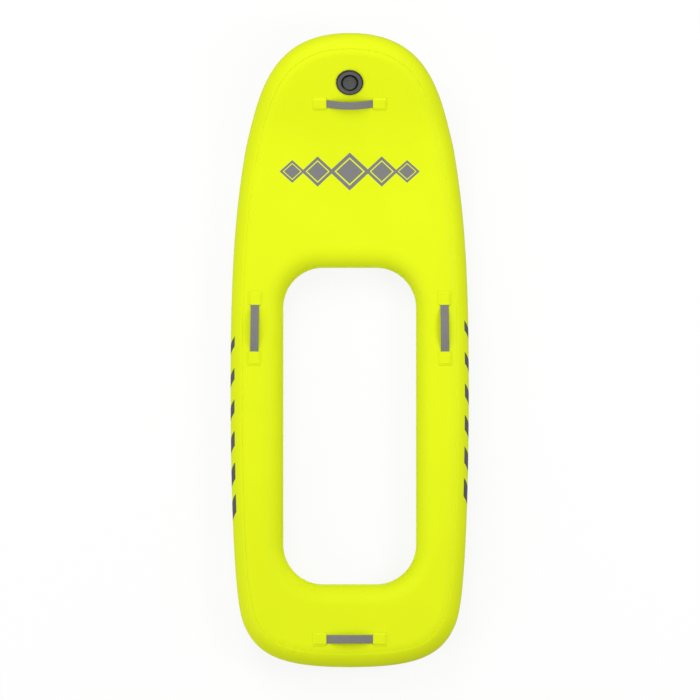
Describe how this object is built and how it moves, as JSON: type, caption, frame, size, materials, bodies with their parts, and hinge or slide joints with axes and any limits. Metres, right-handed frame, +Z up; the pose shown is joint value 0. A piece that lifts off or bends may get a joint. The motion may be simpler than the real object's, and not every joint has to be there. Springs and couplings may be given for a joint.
{
  "type": "inflatable board collar",
  "caption": "Inflatable lime-yellow drop-stitch board with a rounded oblong cut-out for a rigid hull, a rolled-up nose, a screw-capped valve and webbing handles.",
  "frame": {"origin": "middle of the board's plan on the ground under its flat hull skin", "axes": "+X to starboard, +Y to the nose, +Z up out of the deck"},
  "size_m": [0.6768, 1.7997, 0.2507],
  "materials": {
    "coated_fabric": "satin PVC-coated drop-stitch fabric, lime yellow",
    "patch_fabric": "satin PVC-coated fabric patches, lime yellow",
    "webbing": "grey woven polyester webbing",
    "yarn": "white polyester yarn",
    "valve_plastic": "dark grey moulded plastic",
    "cap_plastic": "dark grey moulded plastic",
    "seal_rubber": "black rubber",
    "spring_steel": "stainless spring wire"
  },
  "bodies": {
    "board": {"deck_skin_tail": "coated_fabric", "deck_skin_port_quarter": "coated_fabric", "deck_skin_starboard_quarter": "coated_fabric", "deck_skin_port": "coated_fabric", "deck_skin_starboard": "coated_fabric", "deck_skin_port_shoulder": "coated_fabric", "deck_skin_starboard_shoulder": "coated_fabric", "deck_skin_fore": "coated_fabric", "deck_skin_bend": "coated_fabric", "deck_skin_nose": "coated_fabric", "hull_skin_tail": "coated_fabric", "hull_skin_port_quarter": "coated_fabric", "hull_skin_starboard_quarter": "coated_fabric", "hull_skin_port": "coated_fabric", "hull_skin_starboard": "coated_fabric", "hull_skin_port_shoulder": "coated_fabric", "hull_skin_starboard_shoulder": "coated_fabric", "hull_skin_fore": "coated_fabric", "hull_skin_bend": "coated_fabric", "hull_skin_nose": "coated_fabric", "rail_band_tail": "coated_fabric", "rail_band_port": "coated_fabric", "rail_band_starboard": "coated_fabric", "rail_band_port_bend": "coated_fabric", "rail_band_starboard_bend": "coated_fabric", "rail_band_nose": "coated_fabric", "cutout_tape": "coated_fabric", "drop_stitch_yarns": "yarn", "nose_handle_strap": "webbing", "tail_handle_strap": "webbing", "starboard_handle_strap": "webbing", "port_handle_strap": "webbing", "nose_handle_patch_port": "patch_fabric", "nose_handle_patch_starboard": "patch_fabric", "tail_handle_patch_port": "patch_fabric", "tail_handle_patch_starboard": "patch_fabric", "starboard_handle_patch_aft": "patch_fabric", "starboard_handle_patch_fore": "patch_fabric", "port_handle_patch_aft": "patch_fabric", "port_handle_patch_fore": "patch_fabric", "valve_flange": "valve_plastic", "valve_gasket": "seal_rubber", "valve_back_nut": "valve_plastic", "valve_insert": "valve_plastic", "valve_spring": "spring_steel"},
    "poppet": {"valve_poppet": "valve_plastic", "valve_poppet_seal": "seal_rubber"},
    "stem": {"valve_stem": "valve_plastic"},
    "cap_carrier": {"valve_cap_seal": "seal_rubber"},
    "cap": {"valve_cap": "cap_plastic"}
  },
  "joints": [
    {"name": "poppet_push", "type": "slide", "parent": "board", "child": "poppet", "axis": [0, -0.4111, 0.9116], "range_m": [-0.006, 0], "stiffness_N_per_m": 300, "springref_m": 0.003, "deforming": ["valve_spring"]},
    {"name": "stem_twist", "type": "hinge", "parent": "poppet", "child": "stem", "pos_m": [0, 0.76012, 0.21142], "axis": [0, -0.4111, 0.9116], "range_deg": [0, 90]},
    {"name": "cap_rise", "type": "slide", "parent": "board", "child": "cap_carrier", "axis": [0, -0.4111, 0.9116], "range_m": [0, 0.008]},
    {"name": "cap_turn", "type": "hinge", "parent": "cap_carrier", "child": "cap", "pos_m": [0, 0.76012, 0.21142], "axis": [0, -0.4111, 0.9116], "range_deg": [0, 720]}
  ],
  "couplings": [
    {"joint": "cap_rise", "follows": "cap_turn", "m_per_rad": 0.0006366}
  ]
}
